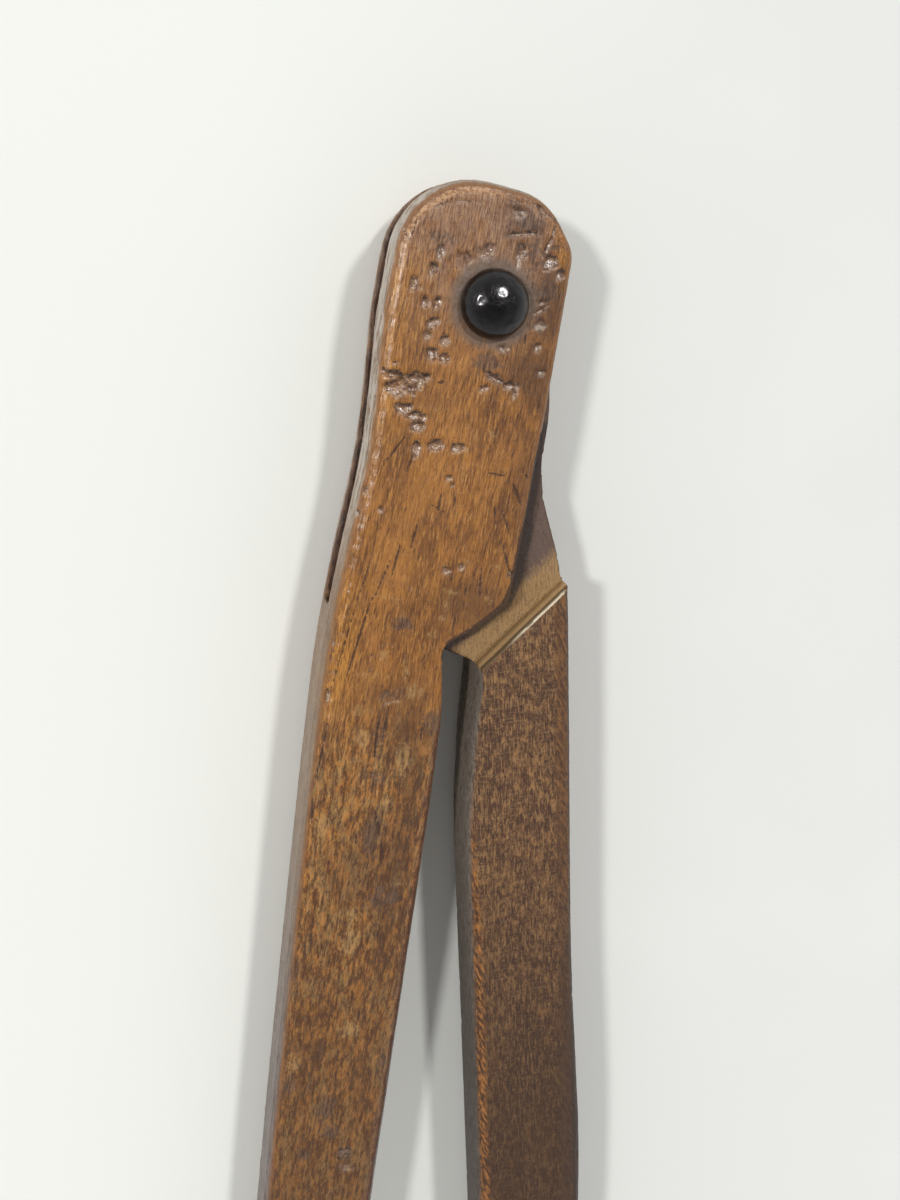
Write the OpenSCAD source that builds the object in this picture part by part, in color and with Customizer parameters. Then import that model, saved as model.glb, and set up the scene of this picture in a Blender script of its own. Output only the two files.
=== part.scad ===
// Large wooden compass with a bridle hinge, lying flat with its legs a little open.
// The fork leg is slotted, the tongue leg is thinned to its middle third and turns in the slot,
// and an iron rivet with a domed head goes through both.
// X and Y are zero on the hinge axis, and Z is zero on the flat tail of the rivet.

/* [Joint] */
// Angle between the two legs as drawn
open_angle = 10.35; // [6.4:0.05:90]
// Thickness of the wood at the joint
joint_thick = 25; // [22:0.5:30]
// Width of the slot in the fork leg
slot_width = 8.4; // [6:0.1:10]
// Play on each face of the tongue in its slot
slot_play = 0.15; // [0.1:0.05:0.3]
// How far the rim of the tongue stays inside the rim of the cheeks
tongue_inset = 2.5; // [1.5:0.25:3.5]
// Gap between the tongue and the foot of the slot when the legs are shut
foot_gap = 0.8; // [0.6:0.1:2]

/* [Legs] */
// Distance from the rivet to the iron collars
leg_reach = 600; // [450:10:700]
// Distance from the rivet where the legs start to bow and narrow
bow_from = 250; // [200:10:300]
// Inward bow of each leg at its collar
foot_bow = 22; // [8:1:22]
// Width of a leg where it starts to narrow
leg_width = 31.4; // [29:0.2:33]
// Width of a leg at its collar
foot_width = 19; // [17:0.5:24]
// Thickness of a leg at its collar
foot_thick = 15; // [14:0.5:20]
// Rounding of the long edges
edge_round = 3; // [1:0.25:3.5]

/* [Rivet] */
// Diameter of the domed head
dome_d = 17.2; // [14:0.2:24]
// Height of the domed head
dome_h = 6.6; // [5:0.2:8]
// Diameter of the shank
shank_d = 8; // [6:0.5:10]
// Clearance of the shank in the tongue, on the radius
shank_play = 0.08; // [0.02:0.01:0.1]
// Diameter of the washer under the tail
rove_d = 20; // [16:0.5:26]

/* [Points] */
// Length of the iron collars
collar_length = 20; // [14:1:30]
// Wall of the iron collars
collar_wall = 1.5; // [1:0.25:2]
// Free length of the iron points
point_length = 78; // [50:1:110]
// Diameter of a point at its root
point_root_d = 10; // [8:0.5:11]
// Length of the tang in the wood
tang_length = 40; // [25:1:50]

/* [Hidden] */
// Steps around a quarter of a rounded edge, and in each span of a drawn edge
round_steps = 3;
span_steps = 4;

// Rivet: hammered tail, washer, and the rim below the dome
tail_d = 13;
tail_flat_d = 9;
tail_h = 1.6;
rove_h = 1.6;
dome_rim_h = 0.8;
shank_r = shank_d / 2;
mid_z = tail_h + rove_h + joint_thick / 2;

// The legs keep their full thickness down to this distance from the rivet
taper_from = 110;

// Both legs are drawn with the rivet at the origin and the leg running down along -Y
// Circles that the round of the fork leg's head follows: crown, brow and nose
head = [[[-6.3, 8.3], 20.4], [[2, 12], 16], [[11, 12.5], 8.4]];
// Outer edge of the fork leg from the crown down to where the leg bows
fork_outer = [[-27.4, -6], [-26.7, -38], [-29.2, -68], [-30.4, -88], [-30.7, -taper_from], [-29.7, -170]];
// Its other edge from the nose down: the side of the cheeks, their slanted end and the throat
fork_inner_x = 3.9;
cheek_side = [[19.2, 0], [18.6, -28], [17.8, -55], [16.9, -69]];
cheek_end = [[15.3, -75], [8, -82.3], [2.2, -86.4]];
fork_throat = [[0.9, -90], [2.9, -103], [3.6, -taper_from], [fork_inner_x, -128], [fork_inner_x, -175]];
// Foot of the slot, from the outer edge to the throat
slot_foot = [[-31, -80], [1, -93]];

// Angle between the legs when their inner edges touch
shut_angle = 6.1;
// Edge of the tongue from its nose down to the shoulder
tongue_side = [[16.8, -6], [16.3, -27], [14.5, -39], [14.2, -49], [16.1, -58.5], [17.8, -65.5], [18.9, -73]];
// Shoulder of the tongue leg, from its outer edge to its throat
shoulder = [[19, -71.8], [-5.9, -93]];
// Outer and inner edges of the tongue leg below the shoulder
tongue_outer_x = 19;
tongue_inner_x = -10.6;
tongue_throat = [[-5.7, -98], [-7.7, -taper_from], [-9.2, -123], [tongue_inner_x, -150]];

// How much of the rounding an edge has: the sawn ends of the joint stay crisp
fork_wear = [[-114, 1], [-96, 0.2], [-74, 0.2], [-62, 1]];
tongue_wear = [[-122, 1], [-98, 0.2]];

// Reach of the saw cuts past the wood
past = 60;

// Collar and point
collar_corner = 2.5;
collar_outer = [foot_width + 0.6, foot_thick + 0.6];
collar_inner = collar_outer - 2 * [collar_wall, collar_wall];
bolster_h = 3;
bolster_inset = 2;
tang_r = 3;
tip_r = 0.6;
nail_r = 0.9;
nail_head_r = 1.8;
nail_head_h = 0.8;
nail_length = 5.5;
narrowing = (leg_width - foot_width) / (leg_reach - bow_from);
foot_lean = atan(2 * foot_bow / (leg_reach - bow_from) + narrowing / 2);

// Direction from a to b, and that direction turned a quarter to the left
function unit(a, b) = (b - a) / norm(b - a);
function left_of(d) = [-d.y, d.x];
function turned(p, a) = [p.x * cos(a) - p.y * sin(a), p.x * sin(a) + p.y * cos(a)];

// Points of an arc about c with radius r, from angle a to angle b
function arc(c, r, a, b, n) = [for (i = [0:n]) c + r * [cos(a + (b - a) * i / n), sin(a + (b - a) * i / n)]];

// Smooth curve through the points p, and the point of one span at t
function span(a, b, c, d, t) =
    b + (c - a) * t / 2
    + (2 * a - 5 * b + 4 * c - d) * t * t / 2
    + (3 * b - a - 3 * c + d) * t * t * t / 2;
function curve(p) = concat(
    [for (i = [0:len(p) - 2]) for (j = [0:span_steps - 1])
        span(p[max(i - 1, 0)], p[i], p[i + 1], p[min(i + 2, len(p) - 1)], j / span_steps)],
    [p[len(p) - 1]]);
function reversed(p) = [for (i = [len(p) - 1:-1:0]) p[i]];

// Closed outline p, counter-clockwise, with each point drawn in by its own share of d
// The edge that starts at the point number foot stays in line
function drawn_in(p, share, d, foot) = [for (i = [0:len(p) - 1])
    let (n = len(p), before = unit(p[(i + n - 1) % n], p[i]), after = unit(p[i], p[(i + 1) % n]))
    let (a = left_of(before), b = left_of(after))
    p[i] + share[i] * d * (i == foot ? after : i == foot + 1 ? -before : (a + b) / (1 + a * b))];

// Triangles from the left edge of outline p, point i and on, across to its right edge, point j and back
// It goes down both edges in step, to the edge that starts at the point number foot
function across(p, foot, i, j) =
    i == foot && j == foot + 1 ? []
    : j == foot + 1 || (i < foot && p[i + 1].y > p[j - 1].y)
        ? concat([[i, i + 1, j]], across(p, foot, i + 1, j))
        : concat([[i, j - 1, j]], across(p, foot, i, j - 1));

// Round that follows circles k clockwise from the left, with straight tangents between them
function tangent_angle(k1, k2) =
    let (way = k2[0] - k1[0])
    atan2(way.y, way.x) + acos((k1[1] - k2[1]) / norm(way));
function round_left(k) = arc(k[0][0], k[0][1], tangent_angle(k[0], k[1]), 180, 10);
function round_right(k) = concat(
    arc(k[2][0], k[2][1], 0, tangent_angle(k[1], k[2]), 4),
    arc(k[1][0], k[1][1], tangent_angle(k[1], k[2]), tangent_angle(k[0], k[1]), 5));

// Bow and width of a leg at the distance s from the rivet
function bow(s) = foot_bow * pow(max(0, s - bow_from) / (leg_reach - bow_from), 2);
function width(s) = leg_width - narrowing * (s - bow_from);
function half_thick(y) =
    (joint_thick - (joint_thick - foot_thick) * max(0, -y - taper_from) / (leg_reach - taper_from)) / 2;

// Inner and outer edge of the bowed part of a leg that bows to the side of +X or -X
// It ends at a corner of the foot, which is square to the way the leg leans there
lower = [for (i = [0:5]) bow_from + (leg_reach - bow_from) * i / 6];
function foot_centre(x, side) = [x + side * (foot_bow - foot_width / 2), -leg_reach];
function foot_corner(x, side, way) =
    foot_centre(x, side) + turned([way * foot_width / 2, 0], side * foot_lean);
function inner_low(x, side) =
    [for (s = lower) [x + side * bow(s), -s], foot_corner(x, side, side)];
function outer_low(x, side) =
    [for (s = lower) [x + side * (bow(s) - width(s)), -s], foot_corner(x, side, -side)];

// Outline of the fork leg: its left edge downwards and its right edge upwards
fork_left = concat(
    round_left(head),
    curve(concat(fork_outer, outer_low(fork_inner_x, 1))));
fork_right = concat(
    reversed(curve(concat(cheek_side, cheek_end, fork_throat, inner_low(fork_inner_x, 1)))),
    round_right(head));

// Outline of the tongue leg: a head that follows the cheeks, a foot that follows the slot
tongue_head = [for (k = head) [turned(k[0], -shut_angle), k[1] - tongue_inset]];
tongue_back = [for (i = [0, 1]) turned(fork_outer[i], -shut_angle) + [tongue_inset, 0]];
slot_dir = turned(unit(slot_foot[0], slot_foot[1]), -shut_angle);
tongue_foot = turned(slot_foot[0], -shut_angle) + left_of(slot_dir) * foot_gap + slot_dir * 2;
tongue_heel = tongue_foot + slot_dir * (tongue_throat[0].x - tongue_foot.x) / slot_dir.x;
tongue_left = concat(
    round_left(tongue_head),
    curve(concat(tongue_back, [tongue_foot])),
    [tongue_heel],
    curve(concat(tongue_throat, inner_low(tongue_inner_x, -1))));
tongue_right = concat(
    reversed(curve(concat(
        [[tongue_outer_x, -90], [tongue_outer_x, -taper_from], [tongue_outer_x, -180]],
        outer_low(tongue_inner_x, -1)))),
    reversed(curve(tongue_side)),
    round_right(tongue_head));

// All that lies above a sawn line
function above(line) =
    let (d = unit(line[0], line[1]), up = left_of(d) * sign(d.x) * 3 * past)
    [line[0] - d * past, line[1] + d * past, line[1] + d * past + up, line[0] - d * past + up];

// Solid of a leg with rounded edges, level down to taper_from and thinning evenly below
// It is drawn from its left edge downwards, its right edge upwards, and the wear of each point
module slab(left, right, wear) {
    outline = concat(left, right);
    foot = len(left) - 1;
    n = len(outline);
    rings = 2 * (round_steps + 1);
    points = [for (j = [0:rings - 1])
        let (top = j > round_steps,
             a = 90 * (top ? j - round_steps - 1 : round_steps - j) / round_steps,
             ring = drawn_in(outline, wear, edge_round * (1 - cos(a)), foot))
        for (i = [0:n - 1])
            let (z = half_thick(ring[i].y) - wear[i] * edge_round * (1 - sin(a)))
            [ring[i].x, ring[i].y, top ? z : -z]];
    walls = [for (j = [0:rings - 2]) for (i = [0:n - 1])
        [j * n + i, (j + 1) * n + i, (j + 1) * n + (i + 1) % n, j * n + (i + 1) % n]];
    top_start = (rings - 1) * n;
    caps = [for (t = across(outline, foot, 0, n - 1)) each [t, [for (i = reversed(t)) top_start + i]]];
    polyhedron(points, concat(walls, caps));
}

// Prism of an outline between two heights
module prism(outline, z0, z1) {
    translate([0, 0, z0])
        linear_extrude(z1 - z0)
            polygon(outline);
}

// Moves into the place of the fork leg or the tongue leg
module as_fork() {
    translate([0, 0, mid_z])
        rotate([0, 0, -open_angle / 2])
            children();
}
module as_tongue() {
    translate([0, 0, mid_z])
        rotate([0, 0, open_angle / 2])
            children();
}

// Moves to the end of the wood, with the leg's own direction along -Y
module at_foot(x, side) {
    translate(foot_centre(x, side))
        rotate([0, 0, side * foot_lean])
            children();
}
module at_fork_foot() {
    as_fork()
        at_foot(fork_inner_x, 1)
            children();
}
module at_tongue_foot() {
    as_tongue()
        at_foot(tongue_inner_x, -1)
            children();
}

// Bar along -Y with rounded long edges, starting at y
module bar(w, t, corner, y, length) {
    translate([0, y, 0])
        rotate([90, 0, 0])
            linear_extrude(length)
                rounded_box(w, t, corner);
}
module rounded_box(w, t, corner) {
    square([w - 2 * corner, t], center = true);
    square([w, t - 2 * corner], center = true);
    for (x = [-1, 1])
        for (y = [-1, 1])
            translate([x * (w / 2 - corner), y * (t / 2 - corner)])
                circle(corner, $fn = 32);
}

// Adds the reduced end that the collar goes on, and bores it for the tang and the nails
module footed(x, side) {
    difference() {
        union() {
            children();
            at_foot(x, side)
                bar(collar_inner.x, collar_inner.y, collar_corner - collar_wall, 1, collar_length + 1);
        }
        at_foot(x, side) {
            rotate([90, 0, 0])
                translate([0, 0, collar_length - tang_length])
                    cylinder(tang_length + 1, r = tang_r, $fn = 48);
            for (way = [-1, 1])
                nail_place(way)
                    nail_shank();
        }
    }
}

// Fork leg: slot for the tongue, slanted cheek ends, and a hole for the rivet
module fork_leg() {
    wear = concat([for (p = fork_left) 1], [for (p = fork_right) lookup(p.y, fork_wear)]);
    color("peru")
        as_fork()
            footed(fork_inner_x, 1)
                difference() {
                    slab(fork_left, fork_right, wear);
                    prism(above(slot_foot), -slot_width / 2, slot_width / 2);
                    cylinder(2 * joint_thick, r = shank_r, center = true, $fn = 64);
                }
}

// Tongue leg: both faces sawn down to the shoulders, and a running hole for the rivet
module tongue_leg() {
    wear = concat([for (p = tongue_left) lookup(p.y, tongue_wear)], [for (p = tongue_right) 1]);
    tongue_half = slot_width / 2 - slot_play;
    color("saddlebrown")
        as_tongue()
            footed(tongue_inner_x, -1)
                difference() {
                    slab(tongue_left, tongue_right, wear);
                    prism(above(shoulder), tongue_half, joint_thick);
                    prism(above(shoulder), -joint_thick, -tongue_half);
                    cylinder(2 * joint_thick, r = shank_r + shank_play, center = true, $fn = 64);
                }
}

// Rivet, turned in one piece: domed head, shank, and tail hammered out over the washer
module pivot_rivet() {
    seat = mid_z + joint_thick / 2;
    dome_r = dome_d / 2;
    dome = [for (i = [0:12])
        [dome_r * cos(i * 7.5), seat + dome_rim_h + (dome_h - dome_rim_h) * sin(i * 7.5)]];
    color("dimgray")
        rotate_extrude($fn = 96)
            polygon(concat(
                [[0, 0], [tail_flat_d / 2, 0], [tail_d / 2, tail_h / 2], [tail_d / 2, tail_h]],
                [[shank_r, tail_h], [shank_r, seat], [dome_r - 0.4, seat]],
                dome));
}

// Washer between the tail and the back of the wood
module rivet_rove() {
    color("dimgray")
        translate([0, 0, tail_h])
            difference() {
                cylinder(rove_h, d = rove_d, $fn = 96);
                translate([0, 0, -1])
                    cylinder(rove_h + 2, r = shank_r, $fn = 64);
            }
}

// Collar on the reduced end of the wood
module collar() {
    difference() {
        bar(collar_outer.x, collar_outer.y, collar_corner, 0, collar_length);
        bar(collar_inner.x, collar_inner.y, collar_corner - collar_wall, 1, collar_length + 2);
        for (way = [-1, 1])
            nail_place(way)
                nail_shank();
    }
}

// Point with a bolster against the end of the wood and a tang inside it
module point() {
    free = point_length - bolster_h;
    root_r = point_root_d / 2;
    taper = [for (i = [0:8])
        [tip_r + (root_r - tip_r) * pow(1 - i / 8, 0.85), bolster_h + free * i / 8]];
    translate([0, -collar_length, 0]) {
        bar(collar_outer.x - bolster_inset, collar_outer.y - bolster_inset, collar_corner, 0, bolster_h);
        rotate([90, 0, 0]) {
            rotate_extrude($fn = 64)
                polygon(concat([[0, bolster_h - 1], [root_r, bolster_h - 1]], taper, [[0, point_length]]));
            translate([0, 0, -tang_length])
                cylinder(tang_length + 1, r = tang_r, $fn = 48);
        }
    }
}

// Nail through a side wall of the collar: its place, its shank and the whole nail
module nail_place(way) {
    translate([way * collar_outer.x / 2, -collar_length / 2, 0])
        rotate([0, way * 90, 0])
            children();
}
module nail_shank() {
    translate([0, 0, -nail_length])
        cylinder(nail_length + 1, r = nail_r, $fn = 32);
}
module nail() {
    rotate_extrude($fn = 32)
        polygon(concat(
            [[0, -nail_length], [nail_r, -nail_length], [nail_r, 0]],
            [for (i = [0:4]) [nail_head_r * cos(i * 22.5), nail_head_h * sin(i * 22.5)]]));
}

module fork_ferrule() {
    color("dimgray")
        at_fork_foot()
            collar();
}
module tongue_ferrule() {
    color("dimgray")
        at_tongue_foot()
            collar();
}
module fork_point() {
    color("gray")
        at_fork_foot()
            point();
}
module tongue_point() {
    color("gray")
        at_tongue_foot()
            point();
}
module fork_nail_outer() {
    color("gray")
        at_fork_foot()
            nail_place(-1)
                nail();
}
module fork_nail_inner() {
    color("gray")
        at_fork_foot()
            nail_place(1)
                nail();
}
module tongue_nail_outer() {
    color("gray")
        at_tongue_foot()
            nail_place(1)
                nail();
}
module tongue_nail_inner() {
    color("gray")
        at_tongue_foot()
            nail_place(-1)
                nail();
}

fork_leg();
tongue_leg();
pivot_rivet();
rivet_rove();
fork_ferrule();
fork_point();
fork_nail_outer();
fork_nail_inner();
tongue_ferrule();
tongue_point();
tongue_nail_outer();
tongue_nail_inner();
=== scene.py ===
"""Large wooden compass with a bridle hinge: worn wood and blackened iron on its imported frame."""

from math import atan, cos, pi, radians, sin

import bmesh
import bpy
import numpy as np
from bpy.props import FloatProperty, FloatVectorProperty, PointerProperty
from mathutils import Matrix, Vector, noise
from mathutils.bvhtree import BVHTree
from mathutils.kdtree import KDTree


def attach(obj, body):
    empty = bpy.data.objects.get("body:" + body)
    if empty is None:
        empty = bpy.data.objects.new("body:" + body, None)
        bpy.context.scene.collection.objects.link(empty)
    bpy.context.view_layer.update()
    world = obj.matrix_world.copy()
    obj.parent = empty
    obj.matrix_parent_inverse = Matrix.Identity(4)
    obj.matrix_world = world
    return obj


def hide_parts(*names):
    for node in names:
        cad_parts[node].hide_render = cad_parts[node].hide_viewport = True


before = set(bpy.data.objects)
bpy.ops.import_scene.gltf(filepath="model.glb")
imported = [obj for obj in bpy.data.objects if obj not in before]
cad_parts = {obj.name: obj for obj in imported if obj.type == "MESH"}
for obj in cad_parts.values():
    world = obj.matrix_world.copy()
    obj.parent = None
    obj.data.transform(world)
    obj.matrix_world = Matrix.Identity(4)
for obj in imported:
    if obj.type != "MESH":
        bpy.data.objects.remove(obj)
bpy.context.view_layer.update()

bl_info = {
    "name": "Wooden Compass",
    "version": (1, 0, 0),
    "blender": (4, 5, 0),
    "location": "View3D > Sidebar > Compass",
    "description": "Wood and iron of a large wooden compass",
    "category": "Object",
}

MM = 0.001

# Turn of each leg about the hinge, which brings it into its own upright frame
FORK_TURN = radians(5.175)
TONGUE_TURN = -FORK_TURN

# Heights and sizes of the wood, in mm
MID_Z = 15.7
FRONT_Z = 28.2
REACH = 600
LEG_WIDTH = 31.4
FOOT_WIDTH = 19
FOOT_BOW = 22
BOW_LENGTH = 350
FOOT_LEAN = atan((2 * FOOT_BOW + (LEG_WIDTH - FOOT_WIDTH) / 2) / BOW_LENGTH)
FORK_INNER = 3.9
TONGUE_INNER = -10.6

# Slot between the cheeks: half its width, the height of its foot at x = 0 and how fast the foot falls with x
SLOT_HALF = 4.2
SLOT_FOOT = -92.6
SLOT_SLANT = 0.40625

# Line of the tongue leg's shoulder: x and y of its two ends
SHOULDER = (19, -71.8, -5.9, -93)

# Lines along the edge of the front cheek, beside which shade is painted as a dark band: ends and half width
CHEEK_EDGE = [
    (18.6, -30, 17.8, -55, 0.9), (17.8, -55, 16.9, -69, 1.4), (16.9, -69, 15.3, -75, 1.5),
    (15.3, -75, 8, -82.3, 1.3), (8, -82.3, 2.2, -86.4, 1.2), (2.2, -86.4, 0.9, -90, 1.0),
]

# Sizes of the iron, in mm: profiles are radius and height, blocks are width, thickness and length
DOME_RADIUS = 8.6
DOME_FOOT = 29.0
DOME_RISE = 5.8
SHANK_RADIUS = 4
TAIL = [(0, 0), (1.5, 0), (3, 0), (4.5, 0), (5.6, 0.3), (6.5, 0.8), (6.5, 1.6), (SHANK_RADIUS, 1.6)]
WASHER = [
    (SHANK_RADIUS, 1.6), (7, 1.6), (9.2, 1.62), (9.9, 1.9), (10, 2.4), (9.8, 3.0), (9.4, 3.2), (7, 3.2),
    (SHANK_RADIUS, 3.2), (SHANK_RADIUS, 1.6),
]
COLLAR = (19.6, 15.6, 20)
COLLAR_WALL = 1.5
BOLSTER = (17.6, 13.6, 3)
FOOT_CORNER = 2.5
TANG = [(0, -40), (3, -40), (3, 0.2), (5, 2)]
SPIKE_ROOT = 5.0
SPIKE_TIP = 0.6
SPIKE_LENGTH = 75
SPIKE_STEPS = 40

# Directions to the two lamps, and the angle that each spans, in degrees
LAMPS = {"lamp_left": (-0.74, 0.208, 1), "lamp_right": (0.345, 0.482, 1)}
LAMP_ANGLE = 6

# Camera: place in mm, turn in degrees and focal length for a sensor of 36 mm
CAMERA_PLACE = (-78.39, 1.30, 343.98)
CAMERA_TURN = (-13.8287, -12.0175, 3.205)
FOCAL_LENGTH = 39.0
SENSOR_WIDTH = 36.0

# Dents on the front of the fork leg: x, y, half width, half height and depth, in mm
FORK_DENTS = [
    (-15.2, 10.0, 1.3, 1.7, 0.7), (-16.0, 5.9, 1.2, 1.8, 0.8), (-8.9, 8.8, 2.5, 2.4, 0.35),
    (-3.6, 11.9, 2.4, 2.0, 0.45), (-20.3, 1.7, 1.0, 1.5, 0.6), (-18.6, 1.4, 0.8, 1.0, 0.4),
    (-16.7, -2.0, 1.3, 1.4, 0.6), (-14.0, -1.9, 0.9, 1.5, 0.7), (-14.6, -7.0, 1.9, 1.5, 0.9),
    (-15.2, -9.9, 1.3, 1.3, 0.8), (-10.7, -10.4, 1.3, 1.4, 0.8), (-13.4, -14.0, 1.9, 1.5, 0.9),
    (-10.5, -14.7, 1.4, 1.3, 0.9), (-22.4, -17.2, 1.3, 0.9, 0.6), (-20.5, -23.0, 3.3, 2.6, 1.2),
    (-18.4, -27.9, 2.2, 1.5, 1.0), (-15.3, -29.3, 2.1, 1.4, 1.0), (-14.6, -32.1, 2.0, 1.2, 0.9),
    (-14.4, -37.3, 1.4, 2.3, 0.9), (-9.3, -36.3, 2.3, 1.7, 0.9), (-3.9, -35.9, 1.9, 1.2, 0.8),
    (4.9, 12.4, 1.2, 3.2, 0.9), (12.9, 11.4, 2.5, 2.0, 1.1), (15.5, 9.1, 1.9, 1.5, 0.8),
    (12.5, -8.8, 1.1, 1.3, 0.7), (3.9, -10.2, 1.5, 1.0, 0.5), (7.3, -19.0, 2.2, 1.2, 0.9),
    (0.5, -20.5, 1.2, 1.1, 0.6), (8.6, -20.9, 0.9, 1.2, 0.7), (15.0, -14.8, 1.2, 1.0, 0.5),
    (11.9, 2.0, 1.5, 0.9, 0.5), (12.2, -3.4, 1.6, 1.3, 0.5), (3.4, 22.2, 2.0, 1.6, 0.4),
    (-21.1, -53.6, 0.9, 0.8, 0.5), (-2.2, -67.0, 1.3, 1.2, 0.6), (1.4, -66.0, 1.1, 1.0, 0.5),
    (-4.9, -43.8, 0.9, 0.9, 0.5), (-3.8, -45.2, 0.7, 0.8, 0.5), (14.8, -66.5, 1.3, 1.1, 0.5),
    (-25.6, -49.1, 0.9, 1.3, 0.6), (-26.8, -55.3, 0.8, 1.1, 0.6), (-28.4, -103.2, 1.0, 2.2, 0.7),
    (-12.9, -101.9, 2.6, 2.2, 0.35), (-12.6, -123.5, 1.9, 1.7, 0.4), (-6.9, -236.5, 1.6, 1.7, 0.5),
    (-5.4, -241.4, 2.6, 0.9, 0.5), (-4.1, -154.2, 2.4, 0.6, 0.4), (-18.4, -90.9, 0.7, 0.7, 0.4),
]

# Gouges and cracks there: ends, half width and depth
FORK_GOUGES = [
    (-25.2, -19.6, -19.5, -20.6, 1.2, 0.9), (-19.5, -20.6, -14.0, -19.8, 1.6, 1.1),
    (-15.2, -20.6, -17.5, -23.4, 1.3, 0.9), (0.4, -16.6, 5.6, -18.6, 1.0, 0.8),
    (1.6, 16.8, 10.3, 18.4, 0.5, 0.5), (12.8, 20.3, 10.0, 11.1, 0.5, 0.8),
    (6.4, 24.9, 13.9, 21.9, 1.1, 0.7), (-17.5, 20.4, -12.6, 22.4, 0.4, 0.35),
    (-12.6, 22.4, -6.3, 23.0, 0.4, 0.35), (10.2, -1.0, 14.2, 1.6, 0.4, 0.5),
    (-24.7, 14.2, -22.6, 11.2, 0.5, 0.4), (-12.7, -106.0, -12.9, -119.0, 0.7, 0.22),
]

# Fine dark cuts there: ends and half width
FORK_CUTS = [
    (-11.2, -55.3, -12.2, -62.9, 0.22), (-14.8, -61.1, -16.0, -70.3, 0.25), (7.9, -49.7, 8.9, -53.8, 0.22),
    (9.7, -49.5, 13.3, -56.8, 0.24), (11.5, -58.7, 15.0, -67.2, 0.3), (6.8, -65.5, 7.5, -73.6, 0.26),
    (-17.2, -34.4, -21.3, -41.2, 0.2), (14.1, -39.7, 15.8, -41.6, 0.3), (11.8, -43.1, 14.8, -48.3, 0.4),
    (-23.6, -75.7, -27.8, -102.0, 0.2), (-20.3, -76.1, -24.3, -98.7, 0.28), (3.4, -69.6, 4.2, -76.0, 0.2),
    (-3.7, -106.2, -1.0, -117.6, 0.2), (-17.0, -66.0, -19.6, -76.0, 0.22), (-22.0, -68.0, -24.0, -77.0, 0.18),
    (5.2, -41.1, 9.4, -41.5, 0.3), (-9.0, -50.6, -4.5, -52.4, 0.16), (-6.2, -47.4, -6.6, -53.5, 0.2),
    (-2.5, -47.0, -2.7, -51.0, 0.2), (-13.2, -33.0, -16.0, -44.0, 0.14), (9.2, -6.2, 9.2, -8.6, 0.25),
    (-12.0, -132.5, -9.0, -142.0, 0.5), (-9.0, -142.0, -7.5, -150.0, 0.5),
    (-15.5, -138.0, -15.6, -143.0, 0.4), (2.2, -77.0, 1.6, -84.0, 0.2),
    (-27.2, -110.0, -28.7, -128.0, 0.3), (-28.6, -129.0, -28.4, -138.0, 0.4),
    (-22.0, -146.0, -23.0, -160.0, 0.22), (-18.5, -176.0, -19.0, -188.0, 0.22),
    (-12.0, -104.0, -12.6, -117.0, 0.22), (-14.2, -107.0, -14.0, -119.0, 0.3),
    (-24.0, -168.0, -24.6, -176.0, 0.3), (-8.0, -190.0, -8.6, -200.0, 0.2),
    (15.4, -20.0, 15.0, -26.0, 0.2), (-21.5, 17.0, -22.6, 12.0, 0.2), (-11.0, -20.5, -9.5, -20.2, 0.4),
]

# Round bruise low on it: a dark ring of short cuts around a dent
BRUISE_X, BRUISE_Y = -6.9, -236.5
BRUISE = [(BRUISE_X + 1.9 * cos(a / 4 * pi), BRUISE_Y + 2.1 * sin(a / 4 * pi)) for a in range(9)]
FORK_CUTS += [(*start, *end, 0.34) for start, end in zip(BRUISE, BRUISE[1:])]

# Pale worn spots there: place and half sizes
FORK_PALE = [
    (2.5, -64.9, 0.8, 0.9), (-0.5, -72.6, 1.5, 0.8), (11.3, -64.7, 1.1, 1.1), (4.4, -31.4, 0.7, 0.9),
    (-0.9, -75.9, 0.5, 2.6), (-0.9, -79.6, 1.5, 0.6), (-2.8, -84.1, 1.3, 0.9), (9.7, -73.6, 1.1, 1.1),
    (-15.2, -90.1, 0.9, 2.2), (-9.0, -94.0, 0.9, 2.4), (-5.8, -99.7, 2.5, 2.1), (-17.6, -113.4, 2.1, 2.4),
    (-19.0, -119.6, 1.3, 1.8), (-6.2, -118.0, 2.4, 4.6), (0.4, -32.9, 0.4, 0.8), (-1.4, -39.5, 0.35, 6.8),
    (-21.2, -96.3, 4.4, 0.3), (-4.2, -154.0, 2.6, 0.5), (-13.5, -171.8, 2.6, 4.4), (-10.2, -197.9, 3.0, 2.6),
    (-24.1, -208.3, 1.8, 3.0), (-25.5, -138.5, 1.8, 4.2), (-9.5, -72.8, 1.4, 0.3), (-16.6, -75.6, 1.8, 0.3),
    (-3.0, -66.4, 0.9, 0.6), (-8.5, -131.0, 1.4, 2.8), (-20.0, -106.0, 1.2, 1.6), (-14.0, -163.0, 1.6, 2.2),
]

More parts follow.
